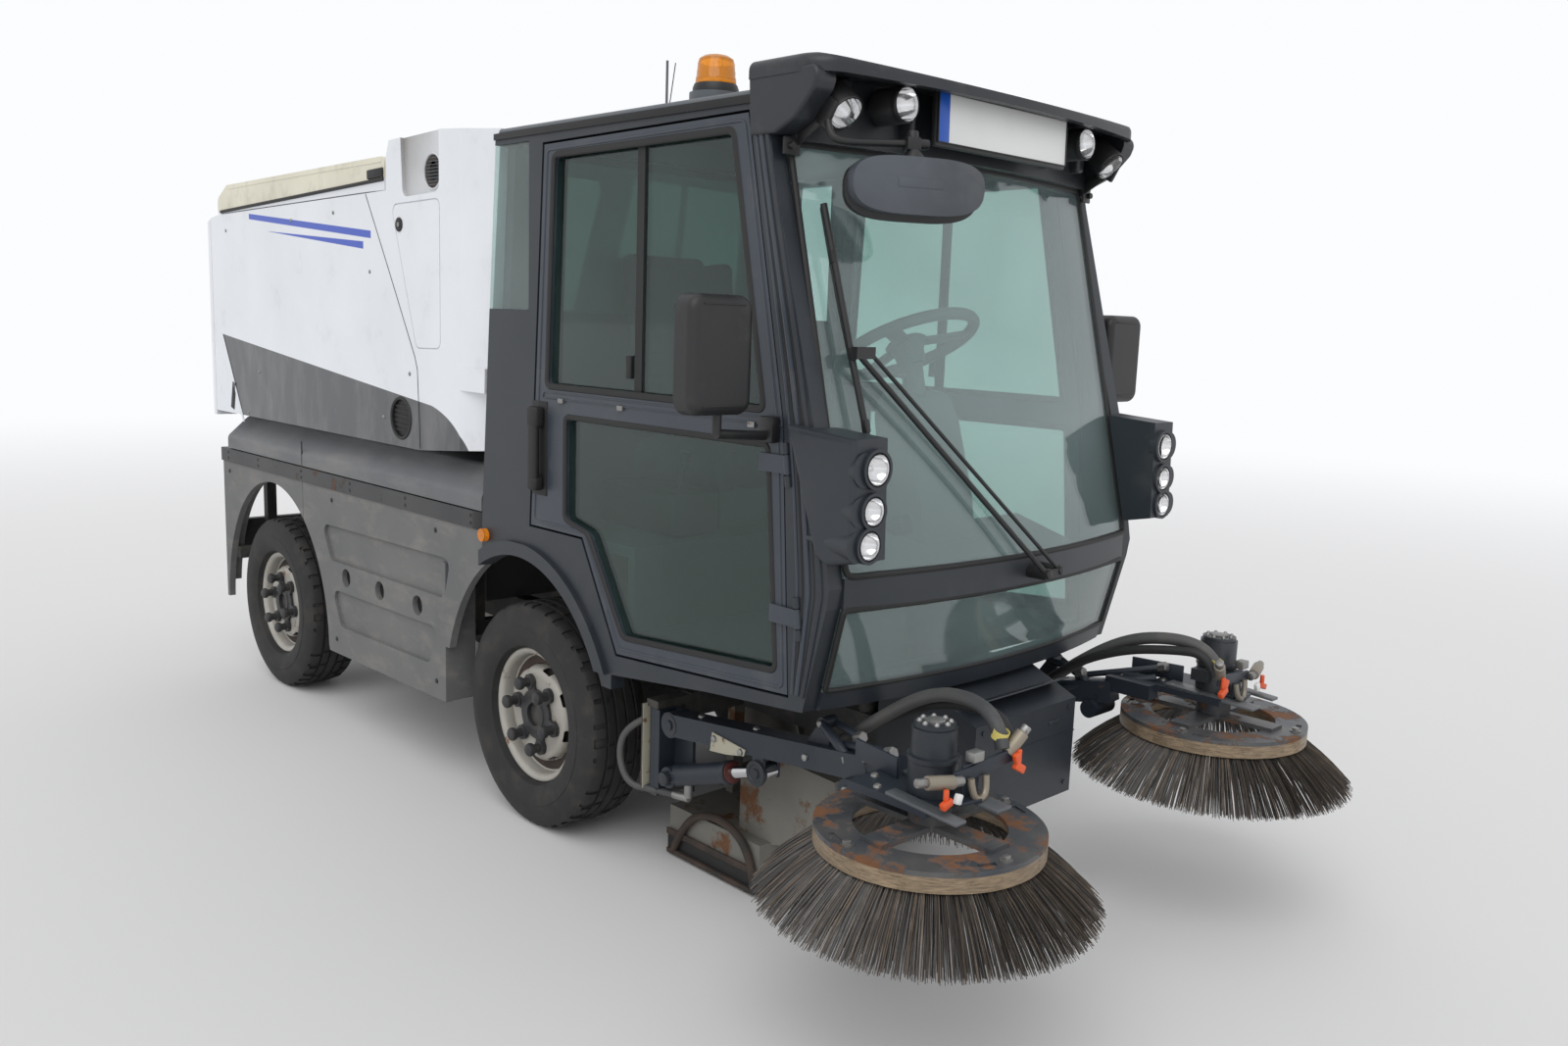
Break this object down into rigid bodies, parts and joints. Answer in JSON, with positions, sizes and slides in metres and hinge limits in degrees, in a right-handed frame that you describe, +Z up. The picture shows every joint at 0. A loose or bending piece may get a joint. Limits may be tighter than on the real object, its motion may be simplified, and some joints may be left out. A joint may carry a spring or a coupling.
{
  "type": "compact road sweeper",
  "caption": "Compact cab-forward road sweeper with two front side brushes, suction mouth, glazed cab with hinged doors, and a rear-tipping hopper.",
  "frame": {"origin": "ground level under the centre of the overall length and width", "axes": "+Y towards the rear of the vehicle (the cab faces -Y), +X to the vehicle's left, +Z up"},
  "size_m": [2.01, 4.402, 2.352],
  "materials": {
    "frame_steel": "satin, dusty",
    "cab_paint": "grained, anthracite",
    "roof_paint": "satin",
    "visor_plastic": "satin",
    "door_paint": "satin",
    "window_glass": "clear, slightly green",
    "white_shell": "semi-gloss, dirty",
    "lid_cream": "semi-gloss",
    "tank_plastic": "moulded, streaked",
    "skirt_plastic": "moulded, streaked",
    "rail_steel": "chipped, rust spots",
    "tyre_rubber": "dusty",
    "rim_paint": "rusty edges",
    "arm_paint": "satin, worn",
    "rod_chrome": "polished",
    "brush_steel": "rust edges",
    "bristle": "steel and plastic tufts",
    "motor_steel": "worn",
    "mouth_steel": "dirty, rusty lower edge",
    "lamp": "clear",
    "signal_lamp": "amber and red",
    "beacon_amber": "translucent orange",
    "black_plastic": "satin",
    "mirror_shell": "satin",
    "seat_fabric": "woven",
    "inner_plastic": "matte",
    "engine_block": "matte"
  },
  "bodies": {
    "chassis": {"axles": "frame_steel", "beacon": "beacon_amber", "cab_floor": "inner_plastic", "cab_front_frame": "cab_paint", "cab_rear_wall": "cab_paint", "cab_roof": "roof_paint", "cab_sides": "cab_paint", "cab_windows": "window_glass", "chassis_frame": "frame_steel", "dashboard": "inner_plastic", "engine_block": "engine_block", "front_box": "cab_paint", "front_lamps": "lamp", "front_mirror": "mirror_shell", "guard_rail": "rail_steel", "lamp_pods": "cab_paint", "roof_visor": "visor_plastic", "seat_base": "inner_plastic", "seat_cushions": "seat_fabric", "side_panels": "skirt_plastic", "signal_lamps": "signal_lamp", "steering_wheel": "black_plastic", "suction_mouth": "mouth_steel", "water_tank": "tank_plastic", "wiper": "black_plastic"},
    "knuckle_left": {"knuckle_left": "frame_steel"},
    "front_left_wheel": {"front_left_tyre": "tyre_rubber", "front_left_rim": "rim_paint"},
    "rear_left_wheel": {"rear_left_tyre": "tyre_rubber", "rear_left_rim": "rim_paint"},
    "door_left": {"door_left": "door_paint", "door_glass_left": "window_glass", "mirror_left": "mirror_shell"},
    "yoke_left": {"brush_yoke_left": "arm_paint"},
    "lift_barrel_left": {"lift_barrel_left": "arm_paint"},
    "lift_rod_left": {"lift_rod_left": "rod_chrome"},
    "arm_left": {"brush_arm_left": "arm_paint", "brush_motor_left": "motor_steel"},
    "brush_left": {"brush_disc_left": "brush_steel", "brush_bristles_left": "bristle"},
    "knuckle_right": {"knuckle_right": "frame_steel"},
    "front_right_wheel": {"front_right_tyre": "tyre_rubber", "front_right_rim": "rim_paint"},
    "rear_right_wheel": {"rear_right_tyre": "tyre_rubber", "rear_right_rim": "rim_paint"},
    "door_right": {"door_right": "door_paint", "door_glass_right": "window_glass", "mirror_right": "mirror_shell"},
    "yoke_right": {"brush_yoke_right": "arm_paint"},
    "lift_barrel_right": {"lift_barrel_right": "arm_paint"},
    "lift_rod_right": {"lift_rod_right": "rod_chrome"},
    "arm_right": {"brush_arm_right": "arm_paint", "brush_motor_right": "motor_steel"},
    "brush_right": {"brush_disc_right": "brush_steel", "brush_bristles_right": "bristle"},
    "hopper": {"hopper_shell": "white_shell", "hopper_cowl": "white_shell"},
    "lid": {"hopper_lid": "lid_cream"},
    "tailgate": {"hopper_tailgate": "white_shell"}
  },
  "joints": [
    {"name": "steer_left", "type": "hinge", "parent": "chassis", "child": "knuckle_left", "pos_m": [0.412, -0.2, 0.35], "axis": [0, 0, 1], "range_deg": [-28, 28]},
    {"name": "front_left_wheel_spin", "type": "hinge", "parent": "knuckle_left", "child": "front_left_wheel", "pos_m": [0.4825, -0.2, 0.35], "axis": [1, 0, 0], "continuous": true},
    {"name": "rear_left_wheel_spin", "type": "hinge", "parent": "chassis", "child": "rear_left_wheel", "pos_m": [0.4825, 1.7, 0.35], "axis": [1, 0, 0], "continuous": true},
    {"name": "door_left_hinge", "type": "hinge", "parent": "chassis", "child": "door_left", "pos_m": [0.63, -1.339, 1.347], "axis": [0, -0.1493, -0.9888], "range_deg": [0, 70]},
    {"name": "brush_swing_left", "type": "hinge", "parent": "chassis", "child": "yoke_left", "pos_m": [0.48, -0.716, 0.463], "axis": [0, 0, 1], "range_deg": [0, 20]},
    {"name": "brush_lift_left", "type": "hinge", "parent": "yoke_left", "child": "arm_left", "pos_m": [0.48, -0.8, 0.463], "axis": [1, 0, 0], "range_deg": [0, 15.3]},
    {"name": "lift_barrel_hinge_left", "type": "hinge", "parent": "yoke_left", "child": "lift_barrel_left", "pos_m": [0.48, -0.79, 0.307], "axis": [1, 0, 0], "range_deg": [-0.5, 14.5]},
    {"name": "lift_rod_slide_left", "type": "slide", "parent": "lift_barrel_left", "child": "lift_rod_left", "axis": [0, -0.9489, 0.3155], "range_m": [-0.043, 0.002]},
    {"name": "brush_spin_left", "type": "hinge", "parent": "arm_left", "child": "brush_left", "pos_m": [0.615, -1.81, 0.53], "axis": [0, 0, 1], "continuous": true},
    {"name": "steer_right", "type": "hinge", "parent": "chassis", "child": "knuckle_right", "pos_m": [-0.412, -0.2, 0.35], "axis": [0, 0, 1], "range_deg": [-28, 28]},
    {"name": "front_right_wheel_spin", "type": "hinge", "parent": "knuckle_right", "child": "front_right_wheel", "pos_m": [-0.4825, -0.2, 0.35], "axis": [1, 0, 0], "continuous": true},
    {"name": "rear_right_wheel_spin", "type": "hinge", "parent": "chassis", "child": "rear_right_wheel", "pos_m": [-0.4825, 1.7, 0.35], "axis": [1, 0, 0], "continuous": true},
    {"name": "door_right_hinge", "type": "hinge", "parent": "chassis", "child": "door_right", "pos_m": [-0.63, -1.339, 1.347], "axis": [0, 0.1493, 0.9888], "range_deg": [0, 70]},
    {"name": "brush_swing_right", "type": "hinge", "parent": "chassis", "child": "yoke_right", "pos_m": [-0.48, -0.716, 0.463], "axis": [0, 0, -1], "range_deg": [0, 20]},
    {"name": "brush_lift_right", "type": "hinge", "parent": "yoke_right", "child": "arm_right", "pos_m": [-0.48, -0.8, 0.463], "axis": [1, 0, 0], "range_deg": [0, 15.3]},
    {"name": "lift_barrel_hinge_right", "type": "hinge", "parent": "yoke_right", "child": "lift_barrel_right", "pos_m": [-0.48, -0.79, 0.307], "axis": [1, 0, 0], "range_deg": [-0.5, 14.5]},
    {"name": "lift_rod_slide_right", "type": "slide", "parent": "lift_barrel_right", "child": "lift_rod_right", "axis": [0, -0.9489, 0.3155], "range_m": [-0.043, 0.002]},
    {"name": "brush_spin_right", "type": "hinge", "parent": "arm_right", "child": "brush_right", "pos_m": [-0.615, -1.81, 0.53], "axis": [0, 0, 1], "continuous": true},
    {"name": "hopper_tip", "type": "hinge", "parent": "chassis", "child": "hopper", "pos_m": [0, 2.12, 1.07], "axis": [-1, 0, 0], "range_deg": [0, 50]},
    {"name": "lid_hinge", "type": "hinge", "parent": "hopper", "child": "lid", "pos_m": [0, 0.6, 2.084], "axis": [1, 0, 0], "range_deg": [0, 40]},
    {"name": "tailgate_hinge", "type": "hinge", "parent": "hopper", "child": "tailgate", "pos_m": [0, 2.18, 1.935], "axis": [1, 0, 0], "range_deg": [0, 70]}
  ],
  "couplings": [
    {"joint": "steer_right", "follows": "steer_left", "ratio": 1},
    {"joint": "lift_barrel_hinge_left", "follows": "brush_lift_left", "ratio": 0.889},
    {"joint": "lift_rod_slide_left", "follows": "brush_lift_left", "m_per_rad": -0.1505},
    {"joint": "lift_barrel_hinge_right", "follows": "brush_lift_right", "ratio": 0.889},
    {"joint": "lift_rod_slide_right", "follows": "brush_lift_right", "m_per_rad": -0.1505}
  ]
}
